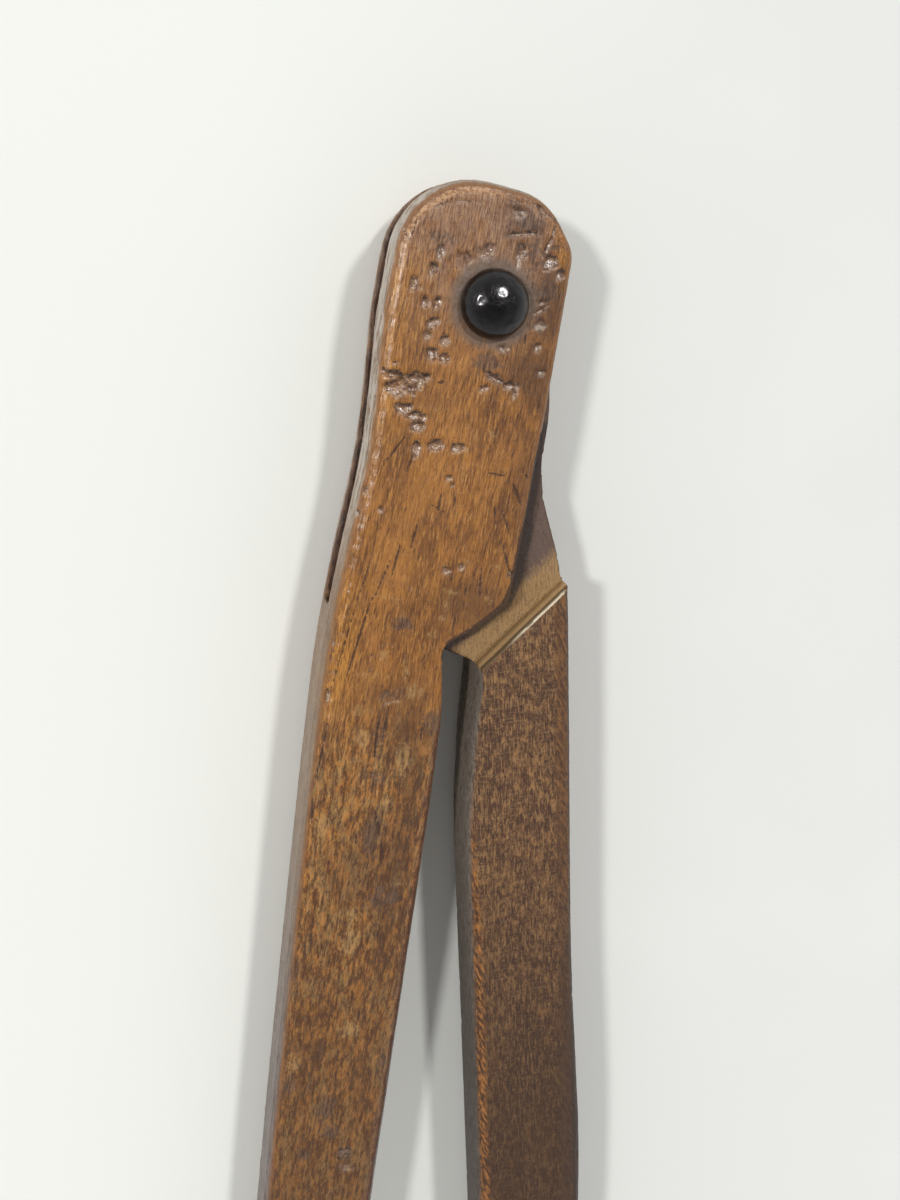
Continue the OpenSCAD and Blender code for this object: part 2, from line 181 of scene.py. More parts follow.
# Dark stains and bruises there: place and half sizes
FORK_STAINS = [
    (1.9, 24.0, 2.4, 1.6), (1.4, 18.1, 1.2, 2.0), (6.2, 20.2, 3.4, 2.6), (8.5, 14.0, 1.6, 5.0),
    (12.8, 4.8, 4.4, 2.2), (12.0, -3.4, 2.0, 1.6), (0.6, -14.2, 3.6, 2.6), (14.0, 15.4, 1.1, 0.9),
    (16.0, 15.6, 0.9, 0.8), (12.6, 15.0, 0.8, 0.8), (-15.6, 13.6, 3.2, 1.2), (-11.6, -81.9, 2.4, 1.9),
    (0.3, -107.8, 2.6, 3.4), (-11.6, -100.6, 2.2, 1.0), (-13.8, -113.6, 0.7, 5.0), (-12.6, -124.9, 1.8, 0.8),
    (-18.0, -94.8, 0.8, 0.8), (-3.7, -157.5, 2.8, 2.2), (-7.8, -157.7, 2.2, 3.2), (-27.3, -181.2, 1.1, 5.4),
    (0.2, -208.1, 1.2, 3.6), (-25.0, -214.9, 2.0, 2.6), (-13.9, -222.5, 2.6, 3.8), (-11.7, -229.7, 2.4, 2.2),
    (-6.9, -236.5, 2.0, 2.0), (-17.9, -236.9, 1.8, 1.8), (-12.0, -140.0, 2.2, 7.0), (-28.6, -90.0, 0.6, 5.0),
]

# Soft areas there, darker where the strength is below zero, or lighter: place, half sizes and strength
FORK_TONES = [
    (14.5, 3.0, 4.5, 8.0, -0.9), (12.0, -15.0, 6.5, 7.0, -0.6), (-11.5, -26.0, 4.5, 5.0, -0.25),
    (14.5, -41.0, 4.5, 16.0, -0.3), (7.0, -75.0, 9.0, 8.0, -0.5), (-3.5, -147.0, 4.5, 50.0, -0.4),
    (-8.0, -111.0, 5.0, 10.0, -0.25), (-14.0, -151.0, 8.0, 14.0, -0.3), (-11.0, -46.0, 6.0, 9.0, 0.35),
    (-14.0, -67.0, 6.0, 11.0, 0.3), (-20.0, -196.0, 6.0, 20.0, -0.2), (4.0, 20.0, 6.0, 5.0, -0.3),
]

# Largest distances that are kept, from cuts and spots and from rims, in mm
FAR = 3.0
RIM_REACH = 4.0


def settings():
    return bpy.context.scene.compass


def colour(red, green, blue):
    """Colour as it looks on screen, from 0 to 255, as a shader takes it"""
    return [((c / 255 + 0.055) / 1.055) ** 2.4 for c in (red, green, blue)] + [1.0]


def step(low, high, values):
    """Smooth step from 0 at low to 1 at high"""
    t = np.clip((values - low) / (high - low), 0, 1)
    return t * t * (3 - 2 * t)


# Meshes

def read(mesh, field):
    values = np.empty(len(mesh.vertices) * 3, np.float32)
    mesh.vertices.foreach_get(field, values)
    return values.reshape(-1, 3).astype(float)


def in_leg(points, turn):
    """World points in metres in a leg's own frame, in mm from the middle of its thickness"""
    x, y, z = points.T / MM
    return np.stack([x * cos(turn) - y * sin(turn), x * sin(turn) + y * cos(turn), z - MID_Z], 1)


def grit(points, size, offset=0.0):
    """Noise from -1 to 1 at each point, with lumps of that size"""
    return np.array([noise.noise((x / size + offset, y / size, z / size)) for x, y, z in points.tolist()])


def spread(mesh, values):
    """Each point's value averaged with those of its neighbours"""
    ends = np.empty(len(mesh.edges) * 2, np.int32)
    mesh.edges.foreach_get("vertices", ends)
    a, b = ends[0::2], ends[1::2]
    count = np.bincount(ends, minlength=len(values)) + 1
    near = np.bincount(a, values[b], len(values)) + np.bincount(b, values[a], len(values))
    return (values + near) / count


def oval_gap(points, spots):
    """Distance to the nearest of the ovals, below zero inside, in mm"""
    gap = np.full(len(points), FAR)
    for x, y, wide, high in spots:
        far = np.hypot((points[:, 0] - x) / wide, (points[:, 1] - y) / high)
        gap = np.minimum(gap, (far - 1) * min(wide, high))
    return gap


def line_gap(points, lines, taper=0.7):
    """Distance to the nearest of the lines, below zero inside, in mm; taper thins them towards their ends"""
    gap = np.full(len(points), FAR)
    for x1, y1, x2, y2, half in lines:
        way = np.array([x2 - x1, y2 - y1])
        from_start = points[:, :2] - [x1, y1]
        along = np.clip(from_start @ way / (way @ way), 0, 1)
        far = np.linalg.norm(from_start - along[:, None] * way, axis=1)
        gap = np.minimum(gap, far - half * (1.15 - taper * np.abs(2 * along - 1)))
    return gap


def soft_tones(points, tones):
    """Sum of the soft areas at each point"""
    total = np.zeros(len(points))
    for x, y, wide, high, strength in tones:
        total += strength * np.exp(-((points[:, 0] - x) / wide) ** 2 - ((points[:, 1] - y) / high) ** 2)
    return total


def from_rim(points, normal):
    """Distance of each point on the front or back to the rounded rim of its face, up to RIM_REACH"""
    level = np.abs(normal[:, 2])
    outer = np.abs(points[:, 2]) > 8
    rim = np.flatnonzero((level > 0.35) & (level < 0.8) & outer)
    tree = KDTree(len(rim))
    for i in rim.tolist():
        tree.insert(points[i], i)
    tree.balance()
    gap = np.full(len(points), RIM_REACH)
    gap[(level < 0.8) & outer] = 0.0
    for i in np.flatnonzero((level >= 0.8) & outer).tolist():
        gap[i] = min(RIM_REACH, tree.find(points[i])[2])
    return gap


def keep(mesh, **fields):
    """Keeps each field on the mesh, as an attribute that its material reads"""
    for name, values in fields.items():
        mesh.attributes.new(name, "FLOAT", "POINT").data.foreach_set("value", values.astype(np.float32))


def lowered(mesh, co, normal, depth):
    """Moves the points in by depth, in mm"""
    co -= normal * (depth * MM)[:, None]
    mesh.vertices.foreach_set("co", co.astype(np.float32).ravel())
    mesh.update()


def new_piece(name, mesh, material, body, *nodes):
    """Makes the object of a finished mesh that stands for CAD nodes and rides on their body"""
    piece = bpy.data.objects.new(name, mesh)
    bpy.context.scene.collection.objects.link(piece)
    mesh.materials.clear()
    mesh.materials.append(material)
    mesh.shade_smooth()
    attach(piece, body)
    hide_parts(*nodes)


def even_mesh(node, fine):
    """Copy of a node's solid in even small faces that lie on it, finer where fine says so"""
    shape = bmesh.new()
    shape.from_mesh(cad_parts[node].data)
    bmesh.ops.remove_doubles(shape, verts=shape.verts, dist=1e-6)
    surface = BVHTree.FromBMesh(shape)
    mesh = bpy.data.meshes.new(node)
    shape.to_mesh(mesh)
    shape.free()

    carrier = bpy.data.objects.new(node + "_remesh", mesh)
    bpy.context.scene.collection.objects.link(carrier)
    remesh = carrier.modifiers.new("remesh", "REMESH")
    remesh.mode = "VOXEL"
    remesh.voxel_size = settings().leg_faces
    remeshed = carrier.evaluated_get(bpy.context.evaluated_depsgraph_get())
    even = bpy.data.meshes.new_from_object(remeshed)
    bpy.data.objects.remove(carrier)
    bpy.data.meshes.remove(mesh)

    bm = bmesh.new()
    bm.from_mesh(even)
    faces = [f for f in bm.faces if fine(f.calc_center_median() / MM, f.normal)]
    edges = list({e for f in faces for e in f.edges})
    bmesh.ops.subdivide_edges(bm, edges=edges, cuts=1, use_grid_fill=True)
    for v in bm.verts:
        v.co = surface.find_nearest(v.co)[0]
    bmesh.ops.recalc_face_normals(bm, faces=bm.faces)
    bm.to_mesh(even)
    bm.free()
    even.update()
    return even


def worn(mesh, turn, dents, gouges, rounding):
    """World places and normals of a leg's points, their places in the leg, how near they are to a rim, and
    the depths of the dents and of all the wear, in mm"""
    co, normal = read(mesh, "co"), read(mesh, "normal")
    points = in_leg(co, turn)
    front = step(0.25, 0.7, normal[:, 2]) * (points[:, 2] > 6)
    ragged = 0.6 * grit(points, 2.2) + 0.12 * grit(points, 0.9, 5)
    depth = np.zeros(len(points))
    # Each dent is deepest towards its upper end
    for x, y, wide, high, deep in dents:
        far = np.hypot((points[:, 0] - x) / wide, (points[:, 1] - y) / high) + ragged
        bowl = 0.7 + 0.32 * np.clip((points[:, 1] - y) / high, -1.2, 1.2)
        depth = np.maximum(depth, 1.1 * deep * (1 - step(0.62, 1.12, far)) * bowl)
    for x1, y1, x2, y2, half, deep in gouges:
        gap = line_gap(points, [(x1, y1, x2, y2, half)]) + ragged * half
        depth = np.maximum(depth, deep * (1 - step(-0.6 * half, 0.25 * half, gap)))
    depth *= front
    gap = from_rim(points, normal)
    edge = np.clip(1 - gap / 3, 0, 1)
    waves = 0.11 * (1 + grit(points * [1, 0.4, 1], 9, 3)) + 0.05 * (1 + grit(points, 2.6, 9))
    waves += rounding * spread(mesh, step(2.7, 0.6, gap))
    nicks = 0.35 * step(0.35, 0.75, grit(points * [1, 0.6, 1], 3.0, 20)) * step(0.4, 0.9, edge)
    return co, normal, points, edge, depth, depth + waves + nicks


# Shader nodes

class Finish:
    """Builds the nodes of one material"""

    def __init__(self, name):
        self.material = bpy.data.materials.new(name)
        self.material.use_nodes = True
        self.tree = self.material.node_tree
        self.shader = self.tree.nodes["Principled BSDF"]

    def node(self, kind, inputs, **choices):
        made = self.tree.nodes.new("ShaderNode" + kind)
        for name, value in choices.items():
            setattr(made, name, value)
        for name, value in inputs.items():
            self.feed(made.inputs[name], value)
        return made

    def feed(self, socket, value):
        if isinstance(value, bpy.types.NodeSocket):
            self.tree.links.new(value, socket)
        else:
            socket.default_value = value

    def place(self, turn=0.0):
        """Place in mm, in a leg's own frame where turn is that leg's"""
        object_place = self.node("TexCoord", {}).outputs["Object"]
        return self.stretched(object_place, (1 / MM, 1 / MM, 1 / MM), turn)

    def stretched(self, place, scale, turn=0.0):
        inputs = {"Vector": place, "Scale": scale, "Rotation": (0, 0, turn)}
        return self.node("Mapping", inputs).outputs["Vector"]

    def noise(self, place, scale, detail=2.0, roughness=0.5, distortion=0.0):
        inputs = {"Vector": place, "Scale": scale, "Detail": detail, "Roughness": roughness,
                  "Distortion": distortion}
        return self.node("TexNoise", inputs).outputs["Fac"]

    def cells(self, place, scale):
        inputs = {"Vector": place, "Scale": scale}
        return self.node("TexVoronoi", inputs, feature="SMOOTH_F1").outputs["Distance"]

    def step(self, value, low, high, to=1.0):
        inputs = {"Value": value, "From Min": low, "From Max": high, "To Max": to}
        return self.node("MapRange", inputs, interpolation_type="SMOOTHSTEP").outputs["Result"]

    def math(self, operation, a, b=0.0):
        made = self.node("Math", {}, operation=operation)
        self.feed(made.inputs[0], a)
        self.feed(made.inputs[1], b)
        return made.outputs["Value"]

    def times(self, a, b):
        return self.math("MULTIPLY", a, b)

    def mix(self, factor, a, b):
        """Colour a where factor is 0 and colour b where it is 1"""
        made = self.node("Mix", {}, data_type="RGBA")
        for number, value in ((0, factor), (6, a), (7, b)):
            self.feed(made.inputs[number], value)
        return made.outputs[2]

    def coats(self, base, *coats):
        """Lays one colour after the other over base, each as far as its mask says"""
        for mask, tint in coats:
            base = self.mix(mask, base, tint)
        return base

    def field(self, name):
        return self.node("Attribute", {}, attribute_name=name).outputs["Fac"]

    def along(self, place, axis):
        return self.node("SeparateXYZ", {"Vector": place}).outputs[axis]

    def bumped(self, height, distance, strength=1.0, below=None):
        inputs = {"Height": height, "Distance": distance * MM, "Strength": strength}
        if below:
            inputs["Normal"] = below
        return self.node("Bump", inputs).outputs["Normal"]

    def done(self, base, roughness, normal, **fixed):
        for name, value in (("Base Color", base), ("Roughness", roughness), ("Normal", normal)):
            self.feed(self.shader.inputs[name], value)
        for name, value in fixed.items():
            self.shader.inputs[name.replace("_", " ")].default_value = value
        return self.material


def polished_wood():
    """Honey-brown wood, polished and bruised by long use"""
    f = Finish("polished_wood")
    place = f.place(FORK_TURN)
    height = f.along(place, "Y")
    lean = f.stretched(place, (1, 1, 1), radians(9))

    broad = f.noise(f.stretched(place, (1, 0.45, 1)), 0.07, 3, 0.6)
    mottle = f.noise(f.stretched(place, (1, 0.6, 1)), 0.3, 5, 0.62, 0.4)
    streaks = f.noise(f.stretched(lean, (1, 0.09, 1)), 0.8, 5, 0.7)
    fine = f.noise(f.stretched(place, (1, 0.09, 1)), 2.6, 3, 0.75)
    dashes = f.noise(f.stretched(lean, (1, 0.09, 1)), 2.5, 4, 0.7)
    dots = f.noise(place, 1.5, 2, 0.5)
    patches = f.noise(f.stretched(place, (1, 0.32, 1)), 0.24, 8, 0.78, 0.2)
    blotches = f.noise(f.stretched(place, (1, 0.3, 1)), 0.8, 8, 0.8, 0.2)
    cracks = f.noise(f.stretched(place, (1, 0.07, 1)), 1.7, 6, 0.8)
    ragged = f.math("SUBTRACT", f.noise(place, 0.9, 5, 0.7), 0.5)

    # Grain all over, then the patches and cracks of the lower leg
    lower = f.step(height, -92.0, -124.0)
    base = f.coats(
        f.mix(f.step(broad, 0.36, 0.64), colour(122, 77, 34), settings().honey_wood[:]),
        (f.step(mottle, 0.45, 0.7, 0.6), colour(172, 116, 54)),
        (f.step(streaks, 0.48, 0.66, 0.7), colour(92, 54, 25)),
        (f.step(fine, 0.47, 0.35, 0.75), colour(78, 44, 20)),
        (f.step(fine, 0.52, 0.65, 0.6), colour(196, 140, 74)),
        (f.times(lower, f.step(patches, 0.5, 0.55, 0.8)), colour(150, 116, 70)),
        (f.times(lower, f.step(blotches, 0.5, 0.56, 0.85)), colour(84, 50, 27)),
        (f.times(lower, f.step(patches, 0.47, 0.41, 0.8)), colour(92, 66, 42)),
        (f.times(lower, f.step(blotches, 0.47, 0.41, 0.85)), colour(186, 124, 60)),
        (f.times(lower, f.step(cracks, 0.56, 0.62, 0.8)), colour(58, 34, 22)),
        (f.times(lower, f.step(cracks, 0.44, 0.39, 0.5)), colour(186, 150, 100)),
        (f.step(height, -110.0, -260.0, 0.5), colour(76, 48, 26)))

    # The greyer head, partly a painted sheen, the amber strips, the specks, the worn rims with a painted
    # highlight along them, the darker inner rim low on the leg, and the wear around the rivet
    head = f.mix(f.step(fine, 0.35, 0.65), colour(112, 78, 60), colour(166, 130, 100))
    amber = f.mix(f.step(fine, 0.35, 0.6), colour(138, 88, 30), colour(196, 136, 60))
    tone = f.math("ADD", f.field("tone"), f.times(ragged, 0.25))
    edge = f.field("edge")
    base = f.coats(
        base,
        (f.times(f.field("head"), f.step(mottle, 0.2, 0.65, 0.9)), head),
        (f.times(f.field("amber"), f.step(streaks, 0.7, 0.4, 0.85)), amber),
        (f.step(tone, 0.0, 0.5, 0.6), colour(184, 124, 58)),
        (f.step(tone, 0.0, -0.5, 0.6), colour(74, 48, 32)),
        (f.step(dashes, 0.59, 0.64, 0.75), colour(66, 38, 22)),
        (f.step(dots, 0.7, 0.76, 0.7), colour(60, 36, 22)),
        (f.step(edge, 0.62, 0.85, 0.6), colour(132, 86, 42)),
        # Darker along the inner rim low on the leg
        (f.times(f.field("seam"), f.step(ragged, -0.16, 0.0)), colour(72, 34, 24)),
        # Painted highlight along the rims of the head
        (f.times(f.field("rubbed"), f.step(ragged, -0.12, 0.1)), colour(222, 180, 140)),
        (f.times(f.field("ring"), f.step(mottle, 0.1, 0.6, 0.9)), colour(112, 95, 82)))

    # Worn spots, stains, cuts and dents, with painted shadow under the dents' upper walls and painted
    # highlight on their lower walls, then the sides, painted lighter as a reflection, and the slot, painted
    # dark as shade
    pale = f.step(f.math("ADD", f.field("pale"), f.times(ragged, 6.0)), 0.3, -0.7, 0.5)
    stain = f.step(f.math("ADD", f.field("stain"), f.times(ragged, 8.0)), 0.7, -1.0, 0.66)
    stained = f.mix(f.step(fine, 0.4, 0.6), colour(58, 42, 36), colour(104, 82, 68))
    cut = f.step(f.math("ADD", f.field("cut"), f.times(ragged, 0.9)), 0.14, -0.06, 0.8)
    dent = f.step(f.field("dent"), 0.05, 0.45)
    dent_floor = f.mix(f.step(ragged, -0.1, 0.1), colour(84, 62, 52), colour(140, 116, 100))
    side = f.field("side")
    low_side = f.mix(f.step(cracks, 0.42, 0.58), colour(118, 102, 98), colour(60, 46, 44))
    slot = f.mix(f.step(fine, 0.4, 0.62), colour(40, 24, 20), colour(84, 54, 42))
    base = f.coats(
        base,
        (f.times(pale, f.step(blotches, 0.62, 0.45)), colour(178, 142, 92)),
        (stain, stained),
        (cut, colour(58, 33, 20)),
        (f.times(dent, 0.6), dent_floor),
        # Painted highlight on the lower walls of the dents, and painted shadow under their upper walls
        (f.times(f.field("lip"), f.step(ragged, -0.08, 0.1, 0.5)), colour(206, 184, 160)),
        (f.times(f.field("brow"), f.step(ragged, 0.16, -0.04, 0.9)), colour(40, 26, 20)),
        # Sides painted lighter and greyer as a reflection, and paler still high on the left
        (f.times(side, 0.6), colour(126, 108, 88)),
        (f.times(f.field("pale_side"), f.step(streaks, 0.6, 0.45)), colour(204, 198, 188)),
        (f.times(side, f.step(height, -110.0, -230.0, 0.8)), low_side),
        # Inner faces of the slot, painted dark as shade
        (f.times(f.field("slot"), 0.9), slot))

    gloss = f.times(f.step(edge, 0.02, 0.3), f.step(edge, 0.85, 0.6))
    roughness = f.math("SUBTRACT", 0.5, f.step(mottle, 0.3, 0.75, 0.14))
    for polish in (f.times(gloss, 0.2), f.times(side, 0.1), f.times(dent, 0.24)):
        roughness = f.math("SUBTRACT", roughness, polish)
    # Painted shade: a dark band along the edge of the front cheek, also made rough
    grime = f.step(f.math("ADD", f.field("grime"), ragged), 0.35, -0.15, 0.8)
    roughness = f.math("MAXIMUM", f.math("MAXIMUM", roughness, 0.18), grime)
    base = f.mix(grime, base, colour(44, 34, 30))

    relief = f.math("ADD", f.times(fine, 0.5), f.times(streaks, 0.5))
    relief = f.math("SUBTRACT", relief, f.times(f.step(dashes, 0.58, 0.66), 0.4))
    relief = f.math("SUBTRACT", relief, cut)
    calm = f.math("SUBTRACT", 1.0, f.times(f.math("MAXIMUM", gloss, dent), 0.6))
    grain = f.bumped(f.times(relief, calm), 0.18, 0.8)
    lumps = f.bumped(f.times(f.noise(place, 0.45, 4, 0.6), calm), 0.4, 0.7, grain)
    normal = f.bumped(f.times(f.noise(place, 0.7, 2, 0.5), dent), 0.25, 0.9, lumps)
    return f.done(base, roughness, normal, IOR=1.48)


def dull_wood():
    """Darker, duller wood with saw marks across it and amber worn edges"""
    f = Finish("dull_wood")
    place = f.place(TONGUE_TURN)
    height = f.along(place, "Y")
    lean = f.stretched(place, (1, 1, 1), radians(-12))
    slant = f.stretched(place, (1, 1, 1), radians(-24))

    broad = f.noise(f.stretched(place, (1, 0.4, 1)), 0.1, 3, 0.6)
    mottle = f.noise(f.stretched(place, (1, 0.55, 1)), 0.6, 6, 0.74, 0.5)
    saw = f.noise(f.stretched(place, (0.14, 1, 0.14)), 1.3, 4, 0.7)
    fine = f.noise(f.stretched(place, (1, 0.1, 1)), 2.4, 3, 0.75)
    flecks = f.noise(f.stretched(lean, (1, 0.3, 1)), 1.6, 3, 0.6)
    dust = f.noise(place, 1.8, 3, 0.7)
    grain = f.noise(f.stretched(slant, (1, 0.16, 1)), 1.5, 3, 0.7)

    base = f.coats(
        f.mix(f.step(broad, 0.36, 0.66), colour(94, 64, 40), settings().brown_wood[:]),
        (f.step(mottle, 0.48, 0.56, 0.8), colour(72, 42, 24)),
        (f.step(mottle, 0.46, 0.4, 0.8), colour(152, 110, 66)),
        (f.step(fine, 0.48, 0.34, 0.8), colour(60, 38, 22)),
        (f.step(fine, 0.52, 0.64, 0.75), colour(158, 120, 76)),
        (f.step(saw, 0.54, 0.66, 0.4), colour(150, 118, 82)),
        (f.step(flecks, 0.56, 0.62, 0.6), colour(58, 35, 22)),
        (f.step(dust, 0.6, 0.66, 0.5), colour(166, 134, 98)),
        (f.step(height, -110.0, -250.0, 0.7), colour(54, 32, 16)))

    # The worn edges are orange on the left and brown on the right
    amber = f.field("amber")
    right = f.step(f.along(place, "X"), 0.0, 8.0)
    orange = f.mix(f.step(grain, 0.42, 0.58), colour(74, 44, 24), colour(172, 112, 52))
    brown = f.mix(f.step(grain, 0.4, 0.62), colour(72, 45, 26), colour(128, 86, 46))
    brown = f.mix(f.step(height, -125.0, -205.0, 0.75), brown, colour(60, 45, 36))
    worn_edge = f.mix(f.step(amber, 1.1, 1.6), f.mix(right, orange, brown), colour(58, 42, 32))

    # The recess is paler near the shoulder, its wall is painted paler still to make up for its shade, with a
    # darker band near its top, and sawn sides are grey
    above = f.field("above")
    wall = f.field("wall")
    near_shoulder = f.step(f.math("ADD", above, f.times(mottle, 8)), 12.5, 8.5)
    recess = f.coats(
        f.mix(near_shoulder, colour(104, 84, 74), colour(166, 132, 88)),
        (f.step(fine, 0.5, 0.62, 0.5), colour(92, 70, 54)),
        (f.step(dust, 0.44, 0.36, 0.6), colour(116, 88, 58)),
        # Wall painted paler to make up for its shade, with a darker band near its top
        (f.step(wall, 0.05, 0.5), colour(206, 168, 118)),
        (f.step(wall, 0.68, 0.85, 0.8), colour(66, 54, 38)))
    sawn = f.coats(
        f.mix(f.step(fine, 0.35, 0.65), colour(96, 88, 80), colour(164, 152, 138)),
        (f.step(height, -120.0, -220.0, 0.65), colour(58, 50, 46)),
        (f.step(flecks, 0.56, 0.62, 0.5), colour(70, 62, 56)),
        (f.step(above, 0.0, 1.5), colour(70, 46, 36)))
    # Painted shade in a band beside the edge of the front cheek
    grime = f.math("ADD", f.field("grime"), f.times(mottle, 0.5))
    base = f.coats(
        base,
        (f.times(amber, f.step(mottle, 0.66, 0.5, 0.85)), worn_edge),
        (f.field("recess"), recess),
        (f.times(f.field("sawn"), 0.9), sawn),
        (f.step(grime, 1.1, 0.1, 0.7), colour(52, 42, 38)),
        # Painted highlight on the shoulder's arris
        (f.field("arris"), colour(236, 220, 190)))

    roughness = f.math("SUBTRACT", 0.66, f.times(f.field("edge"), 0.12))
    roughness = f.math("SUBTRACT", roughness, f.step(mottle, 0.4, 0.7, 0.1))
    relief = f.math("ADD", f.times(fine, 0.5), f.times(saw, 0.6))
    relief = f.math("SUBTRACT", relief, f.times(f.step(flecks, 0.56, 0.62), 0.5))
    normal = f.bumped(f.noise(place, 1.2, 4, 0.7), 0.3, 0.8, f.bumped(relief, 0.22, 0.8))
    return f.done(base, roughness, normal, IOR=1.46)


def blackened_iron():
    """Blackened iron, hammered and polished by handling"""
    f = Finish("blackened_iron")
    place = f.place()
    spots = f.noise(place, 1.3, 4, 0.65)
    broad = f.noise(place, 0.35, 3, 0.6)
    base = f.mix(f.step(broad, 0.4, 0.7), settings().black_iron[:], colour(29, 25, 24))
    base = f.mix(f.step(spots, 0.58, 0.72, 0.6), base, colour(34, 26, 24))
    roughness = f.math("ADD", 0.18, f.step(spots, 0.35, 0.7, 0.09))
    coarse = f.bumped(f.cells(place, 0.42), 0.24, 0.5)
    normal = f.bumped(f.noise(place, 1.6, 3, 0.6), 0.15, 0.9, coarse)
    return f.done(base, roughness, normal, Metallic=0.95, Coat_Weight=0.6, Coat_Roughness=0.14)


def forged_iron():
    """Forged iron, dark at the root and brighter towards the worn tip"""
    f = Finish("forged_iron")
    place = f.place()
    ragged = f.times(f.noise(place, 0.2, 3), 24)
    tip = f.step(f.math("ADD", f.along(place, "Y"), ragged), -640.0, -690.0)
    base = f.mix(tip, colour(62, 58, 56), colour(150, 146, 140))
    rust = f.step(f.noise(place, 0.5, 5, 0.7), 0.52, 0.68, 0.7)
    base = f.mix(rust, base, colour(84, 58, 42))
    drawn = f.noise(f.stretched(place, (1, 0.06, 1)), 3.0, 3, 0.6)
    roughness = f.math("ADD", 0.3, f.times(rust, 0.4))
    normal = f.bumped(f.noise(place, 1.4, 4, 0.6), 0.25, 0.8, f.bumped(drawn, 0.12, 0.7))
    return f.done(base, roughness, normal, Metallic=0.85)


def shared(make):
    """The material that make builds, built once"""
    return bpy.data.materials.get(make.__name__) or make()


# Iron parts

def spun(profile, steps):
    """Closed solid of a profile of radius and height in mm, spun about Z"""
    bm = bmesh.new()
    points = [bm.verts.new((r * MM, 0, z * MM)) for r, z in profile]
    lines = [bm.edges.new(pair) for pair in zip(points, points[1:])]
    bmesh.ops.spin(bm, geom=points + lines, cent=(0, 0, 0), axis=(0, 0, 1), angle=2 * pi,
                   steps=steps, use_merge=True)
    bmesh.ops.remove_doubles(bm, verts=bm.verts, dist=1e-7)
    bmesh.ops.recalc_face_normals(bm, faces=bm.faces)
    return bm


def hammered(bm, size, depth, offset=0.0):
    """Lowers the surface in flats, as a hammer leaves it"""
    bm.normal_update()
    moves = []
    for v in bm.verts:
        p = v.co / MM / size
        near = noise.voronoi((p.x + offset, p.y, p.z))[0]
        moves.append(v.normal * depth * MM * min(1.0, near[1] - near[0]))
    for v, move in zip(bm.verts, moves):
        v.co -= move


def rivet_profile():
    """Tail, shank and domed head of the rivet: radius and height, in mm"""
    dome = []
    for degrees in range(0, 91, 3):
        turn = radians(degrees)
        dome.append((DOME_RADIUS * cos(turn), DOME_FOOT + DOME_RISE * sin(turn)))
    return [*TAIL, (SHANK_RADIUS, FRONT_Z), (DOME_RADIUS - 0.4, FRONT_Z), *dome]


def spike_profile():
    """Tang and taper of a point: radius and height above the end of the collar, in mm"""
    taper = []
    for i in range(SPIKE_STEPS + 1):
        thinning = (1 - i / SPIKE_STEPS) ** 0.85
        height = BOLSTER[2] + SPIKE_LENGTH * i / SPIKE_STEPS
        taper.append((SPIKE_TIP + (SPIKE_ROOT - SPIKE_TIP) * thinning, height))
    return [*TANG, *taper, (0, taper[-1][1])]


def long_edges(bm, least):
    """Edges that run on along Y for more than least, in mm"""
    return [e for e in bm.edges if abs((e.verts[0].co - e.verts[1].co).y) > least * MM]


def block(wide, thick, length, cuts):
    """Bar with rounded long edges that runs down from the origin along -Y"""
    bm = bmesh.new()
    bmesh.ops.create_cube(bm, size=1.0)
    bmesh.ops.scale(bm, verts=bm.verts, vec=(wide * MM, length * MM, thick * MM))
    bmesh.ops.translate(bm, verts=bm.verts, vec=(0, -length / 2 * MM, 0))
    bmesh.ops.subdivide_edges(bm, edges=long_edges(bm, length / 2), cuts=cuts)
    bmesh.ops.bevel(bm, geom=long_edges(bm, 0.001), offset=FOOT_CORNER * MM, segments=5, profile=0.5,
                    affect="EDGES", material=-1)
    return bm


def foot_place(side):
    """Place of a leg's foot: side is 1 for the fork leg and -1 for the tongue leg"""
    inner = FORK_INNER if side > 0 else TONGUE_INNER
    centre = Vector((inner + side * (FOOT_BOW - FOOT_WIDTH / 2), -REACH, 0)) * MM
    leg = Matrix.Translation((0, 0, MID_Z * MM)) @ Matrix.Rotation(-side * FORK_TURN, 4, "Z")
    return leg @ Matrix.Translation(centre) @ Matrix.Rotation(side * FOOT_LEAN, 4, "Z")


def finished(bm, name):
    """Mesh of a bmesh that is done with"""
    mesh = bpy.data.meshes.new(name)
    bm.to_mesh(mesh)
    bm.free()
    return mesh


# Stage

def add_floor(scene):
    """Pale level floor, with painted shade that makes it a little darker to the right"""
    bm = bmesh.new()
    bmesh.ops.create_grid(bm, x_segments=1, y_segments=1, size=8)
    floor = bpy.data.objects.new("floor", finished(bm, "floor"))
    scene.collection.objects.link(floor)
    f = Finish("floor")
    place = f.node("TexCoord", {}).outputs["Object"]
    # Painted shade: the floor gets darker towards the right
    right = f.step(f.along(place, "X"), -0.08, 0.1)
    base = f.mix(right, settings().floor_colour[:], colour(231, 231, 226))
    base = f.mix(f.step(f.noise(place, 14.0, 2), 0.45, 0.7, 0.12), base, colour(246, 246, 240))
    material = f.done(base, 0.8, f.bumped(f.noise(place, 420.0, 3), 0.12, 0.35))
    floor.data.materials.append(material)


def add_lamps(scene):
    """Two broad lamps, each of which lights a level surface with the same strength"""
    for name, way in LAMPS.items():
        way = Vector(way).normalized()
        light = bpy.data.lights.new(name, "SUN")
        light.angle = radians(LAMP_ANGLE)
        light.energy = pi * settings().lamp_strength / way.z
        lamp = bpy.data.objects.new(name, light)
        lamp.rotation_euler = way.to_track_quat("Z", "Y").to_euler()
        scene.collection.objects.link(lamp)


